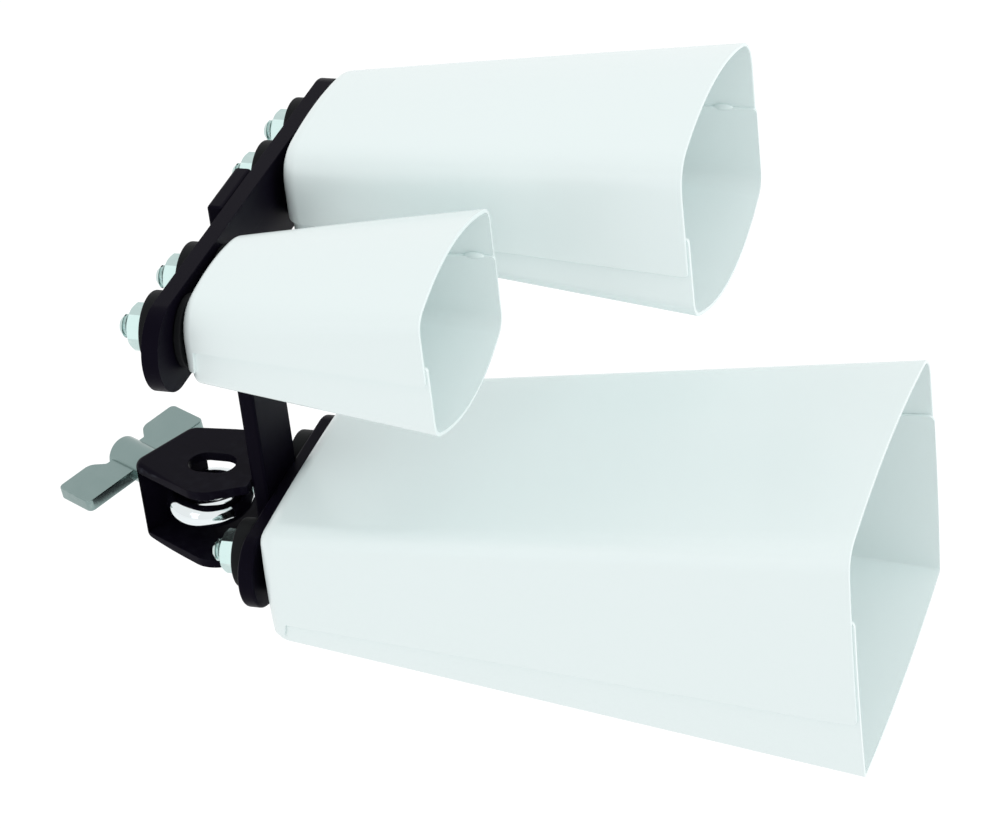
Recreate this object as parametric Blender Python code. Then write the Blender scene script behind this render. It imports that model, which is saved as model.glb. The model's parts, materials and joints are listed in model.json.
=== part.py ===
"""A triple cowbell: three sheet-steel bells bolted to a plate bracket with a rod clamp.

Metres, +Z up. The origin lies on the axis of the stand rod, level with the eye
bolt's stem. +X runs from the bells' closed ends to their mouths, and +Y runs
from the small bell to the medium bell along the upper bar.
"""

import math
from collections import namedtuple

import bmesh
import bpy
from mathutils import Matrix, Vector

# Clearances and sheet
SEAT_GAP = 0.0003
RUNNING_GAP = 0.0004
SHEET = 0.0012

# Bracket plates
ROD_TO_STRAP = 0.0173
STRAP_THICKNESS = 0.0055
STRAP_WIDTH = 0.0260
STRAP_OFFSET_Y = 0.0044
PLATE_THICKNESS = 0.0055
UPPER_BAR_LENGTH = 0.1730
UPPER_BAR_HEIGHT = 0.0290
LOWER_PLATE_LENGTH = 0.0955
LOWER_PLATE_HEIGHT = 0.0265
PLATE_BEVEL = 0.0010

# Where the bells hang: the bolt rows from the rod's middle, each upper pair of bolts
# from the bar's end, and each bell's axis from its bolts
UPPER_BOLT_ROW = 0.1062
LOWER_BOLT_ROW = -0.0033
BAR_END_TO_BOLTS = 0.0382
UPPER_BOLT_SPACING = 0.0300
LARGE_BOLT_SPACING = 0.0540
LARGE_BELL_LIFT = 0.0017
MEDIUM_BELL_LIFT = 0.0035
MEDIUM_BELL_INWARD = 0.0027
UPPER_BOLTS_OUT = UPPER_BAR_LENGTH / 2 - BAR_END_TO_BOLTS

# Bell fasteners, M8
BOLT_DIAMETER = 0.0076
BOLT_HOLE = 0.0086
BOLT_TIP = 0.0034
BOLT_CHAMFER = 0.0010
HEX_ACROSS_FLATS = 0.0130
HEAD_HEIGHT = 0.0053
NUT_HEIGHT = 0.0065
INNER_WASHER_DIAMETER = 0.0150
INNER_WASHER_THICKNESS = 0.0016
WASHER_EDGE = 0.0003
ISOLATOR_DIAMETER = 0.0235
BACK_ISOLATOR_THICKNESS = 0.0056
FRONT_ISOLATOR_THICKNESS = 0.0023
ISOLATOR_EDGE = 0.0004

# Rod clamp
CLAMP_TURN = math.radians(153)
CLAMP_TOP = 0.0157
CLAMP_BOTTOM = 0.0148
CLAMP_SHEET = 0.0032
CLAMP_BEND = 0.0020
WALL_FROM_ROD = 0.0240
TAB_NEAR_SIDE = 0.0165
TAB_NOSE_REACH = 0.0100
TAB_NOSE_ROUND = 0.0100
TAB_CORNER_ROUND = 0.0050
TAB_NEAR_OVERHANG = 0.0030
TAB_FAR_OVERHANG = 0.0040
SLOT_LENGTH = 0.0168
SLOT_WIDTH = 0.0115

# Eye bolt and wing nut, M8
EYE_DRAWN_OUT = 0.0040
EYE_BORE = 0.0114
EYE_WIRE = 0.0092
STEM_DIAMETER = 0.0076
STEM_HOLE = 0.0090
STEM_PAST_HUB = 0.0030
STEM_CHAMFER = 0.0012
WING_WASHER_DIAMETER = 0.0160
WING_WASHER_THICKNESS = 0.0016
LOCK_WASHER_DIAMETER = 0.0130
LOCK_WASHER_THICKNESS = 0.0020
LOCK_WASHER_SLIT = 0.0020
HUB_DIAMETER = 0.0130
HUB_LENGTH = 0.0220
HUB_CHAMFER = 0.0010
WING_SPAN = 0.0540
WING_WIDTH = 0.0165
WING_WAIST = 0.0050
WING_WAIST_SPAN = 0.0200
WING_THICKNESS = 0.0045
WING_PAST_HUB = 0.0030
WING_CORNER = 0.0020
WING_TILT = math.radians(-6)

# How finely round shapes are cut
ROUND_STEPS = 24
EYE_STEPS = 40
EDGE_STEPS = 6
CORNER_STEPS = 3
END_ROUND_STEPS = 3

Section = namedtuple(
    "Section", "width height crown_top crown_bottom crown_side round_top round_bottom"
)
Bell = namedtuple(
    "Bell",
    "name length mouth end end_round end_round_below across up bolts_at bolt_row bolt_spacing"
    " seam_mouth seam_end flange_mouth flange_end",
)

# Each section is a box with bowed sides. The seam is the height of the upper shell's
# edge above the section's bottom, the flange the lower shell's edge below its top.
LARGE_BELL = Bell(
    name="large_bell",
    length=0.2007,
    mouth=Section(
        width=0.1170,
        height=0.0857,
        crown_top=0.0048,
        crown_bottom=0.0031,
        crown_side=0.0021,
        round_top=0.0086,
        round_bottom=0.0030,
    ),
    end=Section(
        width=0.0957,
        height=0.0423,
        crown_top=0.0012,
        crown_bottom=0.0014,
        crown_side=0.0010,
        round_top=0.0070,
        round_bottom=0.0030,
    ),
    end_round=0.0070,
    end_round_below=0.0025,
    across=STRAP_OFFSET_Y,
    up=LOWER_BOLT_ROW + LARGE_BELL_LIFT,
    bolts_at=STRAP_OFFSET_Y,
    bolt_row=LOWER_BOLT_ROW,
    bolt_spacing=LARGE_BOLT_SPACING,
    seam_mouth=0.0223,
    seam_end=0.0077,
    flange_mouth=0.0240,
    flange_end=0.0077,
)
MEDIUM_BELL = Bell(
    name="medium_bell",
    length=0.1388,
    mouth=Section(
        width=0.0889,
        height=0.0527,
        crown_top=0.0088,
        crown_bottom=0.0106,
        crown_side=0.0,
        round_top=0.0100,
        round_bottom=0.0070,
    ),
    end=Section(
        width=0.0660,
        height=0.0312,
        crown_top=0.0030,
        crown_bottom=0.0045,
        crown_side=0.0,
        round_top=0.0130,
        round_bottom=0.0035,
    ),
    end_round=0.0060,
    end_round_below=0.0060,
    across=STRAP_OFFSET_Y + UPPER_BOLTS_OUT - MEDIUM_BELL_INWARD,
    up=UPPER_BOLT_ROW + MEDIUM_BELL_LIFT,
    bolts_at=STRAP_OFFSET_Y + UPPER_BOLTS_OUT,
    bolt_row=UPPER_BOLT_ROW,
    bolt_spacing=UPPER_BOLT_SPACING,
    seam_mouth=0.0148,
    seam_end=0.0069,
    flange_mouth=0.0245,
    flange_end=0.0069,
)
SMALL_BELL = Bell(
    name="small_bell",
    length=0.0814,
    mouth=Section(
        width=0.0695,
        height=0.0435,
        crown_top=0.0072,
        crown_bottom=0.0088,
        crown_side=0.0,
        round_top=0.0050,
        round_bottom=0.0060,
    ),
    end=Section(
        width=0.0535,
        height=0.0250,
        crown_top=0.0034,
        crown_bottom=0.0050,
        crown_side=0.0,
        round_top=0.0050,
        round_bottom=0.0050,
    ),
    end_round=0.0036,
    end_round_below=0.0036,
    across=STRAP_OFFSET_Y - UPPER_BOLTS_OUT,
    up=UPPER_BOLT_ROW,
    bolts_at=STRAP_OFFSET_Y - UPPER_BOLTS_OUT,
    bolt_row=UPPER_BOLT_ROW,
    bolt_spacing=UPPER_BOLT_SPACING,
    seam_mouth=0.0165,
    seam_end=0.0100,
    flange_mouth=0.0165,
    flange_end=0.0050,
)
BELLS = (LARGE_BELL, MEDIUM_BELL, SMALL_BELL)

# The stack along X, from the strap's back to the bolt heads inside the bells
STRAP_FRONT = ROD_TO_STRAP + STRAP_THICKNESS
PLATE_BACK = STRAP_FRONT + SEAT_GAP
PLATE_FRONT = PLATE_BACK + PLATE_THICKNESS
FRONT_ISOLATOR_BACK = PLATE_FRONT + SEAT_GAP
BELL_END = FRONT_ISOLATOR_BACK + FRONT_ISOLATOR_THICKNESS + SEAT_GAP
NESTING = SHEET + SEAT_GAP
BELL_WALL = NESTING + SHEET
INNER_WASHER_BACK = BELL_END + BELL_WALL + SEAT_GAP
HEAD_BACK = INNER_WASHER_BACK + INNER_WASHER_THICKNESS + SEAT_GAP
BACK_ISOLATOR_BACK = PLATE_BACK - SEAT_GAP - BACK_ISOLATOR_THICKNESS
NUT_FRONT = BACK_ISOLATOR_BACK - SEAT_GAP
BOLT_END = NUT_FRONT - NUT_HEIGHT - BOLT_TIP

# The stack along the eye bolt, outward from the clamp's wall
WING_WASHER_START = WALL_FROM_ROD + SEAT_GAP
LOCK_WASHER_START = WING_WASHER_START + WING_WASHER_THICKNESS + SEAT_GAP
HUB_START = LOCK_WASHER_START + LOCK_WASHER_THICKNESS + SEAT_GAP
HUB_END = HUB_START + HUB_LENGTH
WING_END = HUB_END + WING_PAST_HUB
EYE_RADIUS = (EYE_BORE + EYE_WIRE) / 2
STEM_BORE = STEM_DIAMETER + 2 * RUNNING_GAP
BOLT_BORE = BOLT_DIAMETER + 2 * SEAT_GAP


def clear_scene():
    for old in list(bpy.data.objects):
        bpy.data.objects.remove(old, do_unlink=True)


def principled(name, colour, roughness, metallic):
    material = bpy.data.materials.new(name)
    material.use_nodes = True
    shader = material.node_tree.nodes["Principled BSDF"]
    shader.inputs["Base Color"].default_value = (*colour, 1.0)
    shader.inputs["Roughness"].default_value = roughness
    shader.inputs["Metallic"].default_value = metallic
    return material


def empty(name, parent=None, turn=(0.0, 0.0, 0.0)):
    made = bpy.data.objects.new(name, None)
    made.rotation_euler = turn
    made.parent = parent
    bpy.context.collection.objects.link(made)
    return made


def add_object(name, mesh, parent=None, location=(0.0, 0.0, 0.0)):
    made = bpy.data.objects.new(name, mesh)
    made.location = location
    made.parent = parent
    bpy.context.collection.objects.link(made)
    return made


def finish(obj, material, smooth_angle=35):
    """Give the object its material, smooth its round faces and keep its corners sharp."""
    obj.data.materials.clear()
    obj.data.materials.append(material)
    obj.data.shade_smooth()
    obj.data.set_sharp_from_angle(angle=math.radians(smooth_angle))
    return obj


def mesh_of(bm, name):
    bmesh.ops.recalc_face_normals(bm, faces=bm.faces)
    mesh = bpy.data.meshes.new(name)
    bm.to_mesh(mesh)
    bm.free()
    return mesh


def loft(name, rings, closed=False):
    """Skin rings of equal point count, with both ends capped or, if closed, joined."""
    bm = bmesh.new()
    loops = [[bm.verts.new(point) for point in ring] for ring in rings]
    pairs = list(zip(loops, loops[1:]))
    if closed:
        pairs.append((loops[-1], loops[0]))
    for first, second in pairs:
        count = len(first)
        for i in range(count):
            j = (i + 1) % count
            bm.faces.new((first[i], first[j], second[j], second[i]))
    if not closed:
        bm.faces.new(reversed(loops[0]))
        bm.faces.new(loops[-1])
    return mesh_of(bm, name)


def round_ring(x, diameter, steps=ROUND_STEPS):
    turns = [2 * math.pi * i / steps for i in range(steps)]
    return [Vector((x, diameter / 2 * math.cos(a), diameter / 2 * math.sin(a))) for a in turns]


def hex_ring(x, across_flats, steps=ROUND_STEPS):
    """A hexagon with the same point count as a round ring, flats facing up and down."""
    ring = []
    for i in range(steps):
        a = 2 * math.pi * i / steps
        off_flat = (a + math.pi / 6) % (math.pi / 3) - math.pi / 6
        radius = across_flats / 2 / math.cos(math.pi / 6 - abs(off_flat))
        ring.append(Vector((x, radius * math.cos(a), radius * math.sin(a))))
    return ring


def prism(name, outline, bottom, top):
    """Extrude a flat outline of (x, y) points along Z."""
    rings = [[Vector((x, y, z)) for x, y in outline] for z in (bottom, top)]
    return loft(name, rings)


def box(name, low, high):
    corners = [(low[0], low[1]), (high[0], low[1]), (high[0], high[1]), (low[0], high[1])]
    return prism(name, corners, low[2], high[2])


def cutter(name, mesh, parent=None):
    made = add_object(name, mesh, parent)
    made.hide_render = True
    made.display_type = "WIRE"
    return made


def boolean(obj, other, operation):
    modifier = obj.modifiers.new(other.name, "BOOLEAN")
    modifier.operation = operation
    modifier.object = other
    modifier.solver = "EXACT"


def bevel(obj, width, segments=2, angle=40):
    modifier = obj.modifiers.new("edge_break", "BEVEL")
    modifier.width = width
    modifier.segments = segments
    modifier.limit_method = "ANGLE"
    modifier.angle_limit = math.radians(angle)


def rounded_outline(points, radii, steps=5):
    """Round the corners of an (x, y) outline, each with its own radius."""
    made = []
    count = len(points)
    for i in range(count):
        corner = Vector(points[i])
        before = (Vector(points[i - 1]) - corner).normalized()
        after = (Vector(points[(i + 1) % count]) - corner).normalized()
        if radii[i] <= 0:
            made.append(corner)
            continue
        half = before.angle(after) / 2
        middle = corner + (before + after).normalized() * (radii[i] / math.sin(half))
        start = corner + before * (radii[i] / math.tan(half)) - middle
        sweep = start.angle_signed(corner + after * (radii[i] / math.tan(half)) - middle)
        for k in range(steps + 1):
            turn = Matrix.Rotation(-sweep * k / steps, 2)
            made.append(middle + turn @ start)
    return made


def stadium(length, height, middle_y, middle_z, steps=10):
    """Points (y, z) of a bar with full-round ends."""
    radius = height / 2
    reach = length / 2 - radius
    points = []
    for side in (1, -1):
        for k in range(steps + 1):
            a = side * math.pi / 2 - math.pi * k / steps
            y = middle_y + side * reach + radius * math.cos(a)
            points.append((y, middle_z + radius * math.sin(a)))
    return points


def blend(first, second, share):
    return Section(*(a + (b - a) * share for a, b in zip(first, second)))


def inset(section, amount):
    return section._replace(
        width=section.width - 2 * amount,
        height=section.height - 2 * amount,
        round_top=max(section.round_top - amount, SEAT_GAP),
        round_bottom=max(section.round_bottom - amount, SEAT_GAP),
    )


def section_points(section):
    """Points (y, z) round a box whose sides bow out by the crowns and whose corners are rounded."""
    half_w = section.width / 2
    half_h = section.height / 2
    signs = ((-1, -1), (1, -1), (1, 1), (-1, 1))
    corners = [Vector((y * half_w, z * half_h)) for y, z in signs]
    rounds = [section.round_bottom, section.round_bottom, section.round_top, section.round_top]
    bows = [section.crown_bottom, section.crown_side, section.crown_top, section.crown_side]
    sides = []
    for i in range(4):
        start, end = corners[i], corners[(i + 1) % 4]
        run = end - start
        outward = Vector((run.y, -run.x)).normalized()
        first = rounds[i] / run.length
        last = 1 - rounds[(i + 1) % 4] / run.length
        shares = [first + (last - first) * k / EDGE_STEPS for k in range(EDGE_STEPS + 1)]
        sides.append([start + run * t + outward * (bows[i] * 4 * t * (1 - t)) for t in shares])
    points = []
    for i in range(4):
        side, following = sides[i], sides[(i + 1) % 4]
        points.extend(side)
        a, b = side[-1], following[0]
        along_a = side[-1] - side[-2]
        along_b = following[1] - following[0]
        reach = (b - a).cross(along_b) / along_a.cross(along_b)
        knee = a + along_a * reach
        for k in range(1, CORNER_STEPS + 1):
            t = k / (CORNER_STEPS + 1)
            points.append(a * (1 - t) ** 2 + knee * (2 * t * (1 - t)) + b * t**2)
    return points


def bell_body(bell, name, offset, past_mouth, drop=0.0):
    """The bell's closed outer form, moved inward by the offset, with a rounded closed end."""

    def ring(x, amount, lower_by=0.0):
        section = inset(blend(bell.end, bell.mouth, x / bell.length), amount)
        section = section._replace(height=section.height + lower_by)
        middle = Vector((BELL_END + x, bell.across, bell.up - drop - lower_by / 2))
        return [middle + Vector((0.0, y, z)) for y, z in section_points(section)]

    radius = bell.end_round - offset
    radius_below = max(bell.end_round_below - offset, 0.0)
    rings = []
    for k in range(END_ROUND_STEPS + 1):
        a = math.pi / 2 * k / END_ROUND_STEPS
        from_end = offset + radius * (1 - math.cos(a))
        rounding = 1 - math.sin(a)
        rings.append(ring(from_end, offset + radius * rounding, (radius - radius_below) * rounding))
    rings.append(ring(bell.length + past_mouth, offset))
    return loft(name, rings)


def seam_region(bell, name, end_height, mouth_height, upward):
    """A slab above or below a seam that slants from the closed end to the mouth."""
    reach = bell.mouth.width
    far = bell.mouth.height * (1 if upward else -1)
    slope = (mouth_height - end_height) / bell.length
    past = bell.end_round
    low_x, high_x = -past, bell.length + past
    corners = [
        (low_x, end_height + slope * low_x),
        (high_x, end_height + slope * high_x),
        (high_x, far),
        (low_x, far),
    ]
    rings = [
        [Vector((BELL_END + x, bell.across + side, bell.up + z)) for x, z in corners]
        for side in (-reach, reach)
    ]
    return cutter(name, loft(name, rings))


def bolt_places(bell):
    half = bell.bolt_spacing / 2
    return {"near": bell.bolts_at - half, "far": bell.bolts_at + half}


def hole_cutters(bell, name):
    """Two holes along X through a plate or a bell's end wall."""
    made = []
    for where, y in bolt_places(bell).items():
        start, stop = PLATE_BACK - PLATE_THICKNESS, BELL_END + 2 * bell.end_round
        rings = [round_ring(start, BOLT_HOLE), round_ring(stop, BOLT_HOLE)]
        hole = cutter(f"{name}_{where}_hole", loft(f"{name}_{where}_hole", rings))
        hole.location = (0.0, y, bell.bolt_row)
        made.append(hole)
    return made


def build_shell(bell, which, root, material):
    """One of a bell's two nested channels, each with its own end wall."""
    name = f"{bell.name}_{which}_shell"
    upper = which == "upper"
    offset = 0.0 if upper else NESTING
    drop = 0.0 if upper else NESTING
    shell = add_object(name, bell_body(bell, name, offset, 0.0, drop), root)
    hollow_name = f"{name}_hollow"
    hollow = cutter(hollow_name, bell_body(bell, hollow_name, offset + SHEET, bell.end_round, drop))
    if upper:
        end_height = bell.seam_end - bell.end.height / 2
        mouth_height = bell.seam_mouth - bell.mouth.height / 2
    else:
        end_height = bell.end.height / 2 - bell.flange_end
        mouth_height = bell.mouth.height / 2 - bell.flange_mouth
    region = seam_region(bell, f"{name}_region", end_height, mouth_height, upper)
    boolean(shell, hollow, "DIFFERENCE")
    boolean(shell, region, "INTERSECT")
    for hole in hole_cutters(bell, name):
        boolean(shell, hole, "DIFFERENCE")
    return finish(shell, material, 50)


def build_plate(name, length, height, bells, root, material):
    """A flat bar with full-round ends, drilled for the bells it carries."""
    middle_z = bells[0].bolt_row
    outline = stadium(length, height, STRAP_OFFSET_Y, middle_z)
    rings = [[Vector((x, y, z)) for y, z in outline] for x in (PLATE_BACK, PLATE_FRONT)]
    plate = add_object(name, loft(name, rings), root)
    bevel(plate, PLATE_BEVEL)
    for bell in bells:
        for hole in hole_cutters(bell, f"{name}_{bell.name}"):
            boolean(plate, hole, "DIFFERENCE")
    return finish(plate, material)


def build_strap(root, material):
    """The upright between the upper bar and the lower plate, flush with their outer edges."""
    half = STRAP_WIDTH / 2
    low = (ROD_TO_STRAP, STRAP_OFFSET_Y - half, LOWER_BOLT_ROW - LOWER_PLATE_HEIGHT / 2)
    high = (STRAP_FRONT, STRAP_OFFSET_Y + half, UPPER_BOLT_ROW + UPPER_BAR_HEIGHT / 2)
    strap = add_object("strap", box("strap", low, high), root)
    bevel(strap, PLATE_BEVEL)
    return finish(strap, material)


def clamp_point(out, along):
    """A point (x, y) given by its distance out along the eye bolt and along the clamp's wall."""
    return Matrix.Rotation(CLAMP_TURN, 2) @ Vector((out, -along))


def clamp_outline():
    """The clamp's plan: its wall stands square to the eye bolt, its tabs run to the strap."""
    strap_x = ROD_TO_STRAP - SEAT_GAP
    far_y = STRAP_OFFSET_Y + STRAP_WIDTH / 2 + TAB_FAR_OVERHANG
    near_y = STRAP_OFFSET_Y - STRAP_WIDTH / 2 - TAB_NEAR_OVERHANG
    out_share = math.sin(CLAMP_TURN)
    along_share = -math.cos(CLAMP_TURN)
    wall_far = clamp_point(WALL_FROM_ROD, (far_y - WALL_FROM_ROD * out_share) / along_share)
    wall_near = clamp_point(WALL_FROM_ROD, -TAB_NEAR_SIDE)
    nose = clamp_point(-TAB_NOSE_REACH, -TAB_NEAR_SIDE)
    corners = [(strap_x, far_y), tuple(wall_far), tuple(wall_near), tuple(nose), (strap_x, near_y)]
    return rounded_outline(corners, [0.0, TAB_CORNER_ROUND, TAB_CORNER_ROUND, TAB_NOSE_ROUND, 0.0])


def build_clamp(root, axis, material):
    """A bent plate with a slotted tab, a closed tab below it and a wall for the eye bolt."""
    outline = clamp_outline()
    mesh = prism("clamp_bracket", outline, -CLAMP_BOTTOM, CLAMP_TOP)
    clamp = add_object("clamp_bracket", mesh, root)
    bevel(clamp, CLAMP_BEND, segments=3, angle=60)
    reach = 4 * WALL_FROM_ROD
    gap_low = (-reach, -reach, CLAMP_SHEET - CLAMP_BOTTOM)
    gap_high = (WALL_FROM_ROD - CLAMP_SHEET, reach, CLAMP_TOP - CLAMP_SHEET)
    gap = cutter("clamp_gap", box("clamp_gap", gap_low, gap_high), axis)
    run = (SLOT_LENGTH - SLOT_WIDTH) / 2
    slot_points = []
    for side in (1, -1):
        for k in range(ROUND_STEPS // 2 + 1):
            a = side * math.pi / 2 - math.pi * k / (ROUND_STEPS // 2)
            x = side * run + SLOT_WIDTH / 2 * math.cos(a)
            slot_points.append((x, SLOT_WIDTH / 2 * math.sin(a)))
    slot = cutter("clamp_slot", prism("clamp_slot", slot_points, 0.0, 2 * CLAMP_TOP))
    hole_rings = [round_ring(0.0, STEM_HOLE), round_ring(2 * WALL_FROM_ROD, STEM_HOLE)]
    hole = cutter("clamp_stem_hole", loft("clamp_stem_hole", hole_rings), axis)
    boolean(clamp, gap, "DIFFERENCE")
    boolean(clamp, slot, "DIFFERENCE")
    boolean(clamp, hole, "DIFFERENCE")
    return finish(clamp, material)


def washer_mesh(name, start, thickness, bore, diameter, edge):
    """A flat ring whose outer edges are broken."""
    end = start + thickness
    rings = [
        round_ring(start, bore),
        round_ring(start, diameter - 2 * edge),
        round_ring(start + edge, diameter),
        round_ring(end - edge, diameter),
        round_ring(end, diameter - 2 * edge),
        round_ring(end, bore),
    ]
    return loft(name, rings, closed=True)


def bolt_mesh():
    """A hexagon bolt whose head sits inside the bell and whose shank runs back through the plate."""
    head_front = HEAD_BACK + HEAD_HEIGHT
    rings = [
        hex_ring(head_front, HEX_ACROSS_FLATS - 2 * BOLT_CHAMFER),
        hex_ring(head_front - BOLT_CHAMFER, HEX_ACROSS_FLATS),
        hex_ring(HEAD_BACK, HEX_ACROSS_FLATS),
        round_ring(HEAD_BACK, BOLT_DIAMETER),
        round_ring(BOLT_END + BOLT_CHAMFER, BOLT_DIAMETER),
        round_ring(BOLT_END, BOLT_DIAMETER - 2 * BOLT_CHAMFER),
    ]
    return loft("bell_bolt", rings)


def nut_mesh():
    back = NUT_FRONT - NUT_HEIGHT
    rings = [
        round_ring(NUT_FRONT, BOLT_BORE),
        hex_ring(NUT_FRONT, HEX_ACROSS_FLATS - BOLT_CHAMFER),
        hex_ring(NUT_FRONT - BOLT_CHAMFER / 2, HEX_ACROSS_FLATS),
        hex_ring(back + BOLT_CHAMFER, HEX_ACROSS_FLATS),
        hex_ring(back, HEX_ACROSS_FLATS - 2 * BOLT_CHAMFER),
        round_ring(back, BOLT_BORE),
    ]
    return loft("bell_nut", rings, closed=True)


def isolator_mesh(name, start, thickness):
    """A rubber ring that keeps the bell's ring out of the bracket."""
    return washer_mesh(name, start, thickness, BOLT_BORE, ISOLATOR_DIAMETER, ISOLATOR_EDGE)


def build_fasteners(root, steel, rubber):
    """Two bolts for each bell, with a washer inside, an isolator on each side of the plate and a nut."""
    inner_washer = washer_mesh(
        "inner_washer",
        INNER_WASHER_BACK,
        INNER_WASHER_THICKNESS,
        BOLT_BORE,
        INNER_WASHER_DIAMETER,
        WASHER_EDGE,
    )
    back_isolator = isolator_mesh("back_isolator", BACK_ISOLATOR_BACK, BACK_ISOLATOR_THICKNESS)
    front_isolator = isolator_mesh("front_isolator", FRONT_ISOLATOR_BACK, FRONT_ISOLATOR_THICKNESS)
    kinds = {
        "bolt": (bolt_mesh(), steel),
        "nut": (nut_mesh(), steel),
        "inner_washer": (inner_washer, steel),
        "back_isolator": (back_isolator, rubber),
        "front_isolator": (front_isolator, rubber),
    }
    for bell in BELLS:
        for where, y in bolt_places(bell).items():
            for kind, (mesh, material) in kinds.items():
                place = (0.0, y, bell.bolt_row)
                finish(add_object(f"{bell.name}_{kind}_{where}", mesh, root, place), material)


def build_eye_bolt(axis, material):
    """A ring that grips the rod, on a stem that passes out through the clamp's wall."""
    tube_steps = ROUND_STEPS // 2
    rings = []
    for i in range(EYE_STEPS):
        a = 2 * math.pi * i / EYE_STEPS
        outward = Vector((math.cos(a), math.sin(a), 0.0))
        ring = []
        for k in range(tube_steps):
            b = 2 * math.pi * k / tube_steps
            reach = EYE_RADIUS + EYE_WIRE / 2 * math.cos(b)
            ring.append(outward * reach + Vector((EYE_DRAWN_OUT, 0.0, EYE_WIRE / 2 * math.sin(b))))
        rings.append(ring)
    eye = add_object("eye_bolt", loft("eye_bolt", rings, closed=True), axis)
    tip = HUB_END + STEM_PAST_HUB
    shoulder = EYE_DRAWN_OUT + EYE_RADIUS + EYE_WIRE / 2
    stem_rings = [
        round_ring(EYE_DRAWN_OUT + EYE_RADIUS, EYE_WIRE - 2 * SEAT_GAP),
        round_ring(shoulder, EYE_WIRE - 2 * SEAT_GAP),
        round_ring(shoulder, STEM_DIAMETER),
        round_ring(tip - STEM_CHAMFER, STEM_DIAMETER),
        round_ring(tip, STEM_DIAMETER - 2 * STEM_CHAMFER),
    ]
    stem = cutter("eye_bolt_stem", loft("eye_bolt_stem", stem_rings), axis)
    boolean(eye, stem, "UNION")
    return finish(eye, material)


def build_lock_washer(axis, material):
    """A split spring washer."""
    mesh = washer_mesh(
        "wing_lock_washer",
        LOCK_WASHER_START,
        LOCK_WASHER_THICKNESS,
        STEM_BORE,
        LOCK_WASHER_DIAMETER,
        WASHER_EDGE,
    )
    washer = add_object("wing_lock_washer", mesh, axis)
    half = LOCK_WASHER_SLIT / 2
    past = LOCK_WASHER_START - LOCK_WASHER_THICKNESS
    slit_low = (past, 0.0, -half)
    slit_high = (past + 3 * LOCK_WASHER_THICKNESS, LOCK_WASHER_DIAMETER, half)
    slit = cutter("lock_washer_slit", box("lock_washer_slit", slit_low, slit_high), axis)
    boolean(washer, slit, "DIFFERENCE")
    return finish(washer, material)


def build_wing_nut(axis, material):
    """A threaded hub with two flat wings, waisted beside the hub."""
    hub_rings = [
        round_ring(HUB_START, STEM_BORE),
        round_ring(HUB_START, HUB_DIAMETER - 2 * HUB_CHAMFER),
        round_ring(HUB_START + HUB_CHAMFER, HUB_DIAMETER),
        round_ring(HUB_END - HUB_CHAMFER, HUB_DIAMETER),
        round_ring(HUB_END, HUB_DIAMETER - 2 * HUB_CHAMFER),
        round_ring(HUB_END, STEM_BORE),
    ]
    nut = add_object("wing_nut", loft("wing_nut", hub_rings, closed=True), axis)
    root_y = (HUB_DIAMETER + STEM_BORE) / 4
    inner_x = WING_END - WING_WIDTH
    waist_y = WING_WAIST_SPAN / 2
    for side in (1, -1):
        corners = [
            (inner_x, side * root_y),
            (inner_x, side * WING_SPAN / 2),
            (WING_END, side * WING_SPAN / 2),
            (WING_END, side * waist_y),
            (WING_END - WING_WAIST, side * waist_y),
            (WING_END - WING_WAIST, side * root_y),
        ]
        rounds = [0.0, WING_CORNER, WING_CORNER, WING_CORNER / 2, 0.0, 0.0]
        outline = rounded_outline(corners, rounds, 3)
        name = "wing_nut_wing_far" if side < 0 else "wing_nut_wing_near"
        wing = cutter(name, prism(name, outline, -WING_THICKNESS / 2, WING_THICKNESS / 2), axis)
        boolean(nut, wing, "UNION")
    return finish(nut, material)


def main():
    clear_scene()
    enamel = principled("white_enamel", (0.78, 0.86, 0.83), 0.25, 0.0)
    coat = principled("black_coat", (0.015, 0.014, 0.018), 0.4, 0.0)
    zinc = principled("bright_zinc", (0.72, 0.74, 0.72), 0.25, 1.0)
    rubber = principled("black_rubber", (0.02, 0.02, 0.022), 0.7, 0.0)
    chrome = principled("chrome", (0.82, 0.83, 0.84), 0.08, 1.0)
    nickel = principled("satin_nickel", (0.52, 0.56, 0.54), 0.35, 1.0)

    root = empty("triple_cowbell")
    axis = empty("eye_bolt_axis", root, (0.0, 0.0, CLAMP_TURN))
    wing_axis = empty("wing_nut_axis", axis, (WING_TILT, 0.0, 0.0))
    for bell in BELLS:
        for which in ("upper", "lower"):
            build_shell(bell, which, root, enamel)
    build_plate("upper_bar", UPPER_BAR_LENGTH, UPPER_BAR_HEIGHT, (MEDIUM_BELL, SMALL_BELL), root, coat)
    build_plate("lower_plate", LOWER_PLATE_LENGTH, LOWER_PLATE_HEIGHT, (LARGE_BELL,), root, coat)
    build_strap(root, coat)
    build_clamp(root, axis, coat)
    build_fasteners(root, zinc, rubber)
    build_eye_bolt(axis, chrome)
    washer = washer_mesh(
        "wing_washer",
        WING_WASHER_START,
        WING_WASHER_THICKNESS,
        STEM_BORE,
        WING_WASHER_DIAMETER,
        WASHER_EDGE,
    )
    finish(add_object("wing_washer", washer, axis), zinc)
    build_lock_washer(axis, zinc)
    build_wing_nut(wing_axis, nickel)


main()
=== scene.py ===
"""The finished looks of a triple cowbell on its rod-clamp bracket.

Metres, in the solids' own frame. The origin lies on the stand rod's axis, level with
the eye bolt's stem. +X runs to the bells' mouths, +Y from the small bell to the medium.
"""

import json
import math
from collections import namedtuple
from contextlib import contextmanager

import bmesh
import bpy
from mathutils import Matrix, Vector


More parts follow.
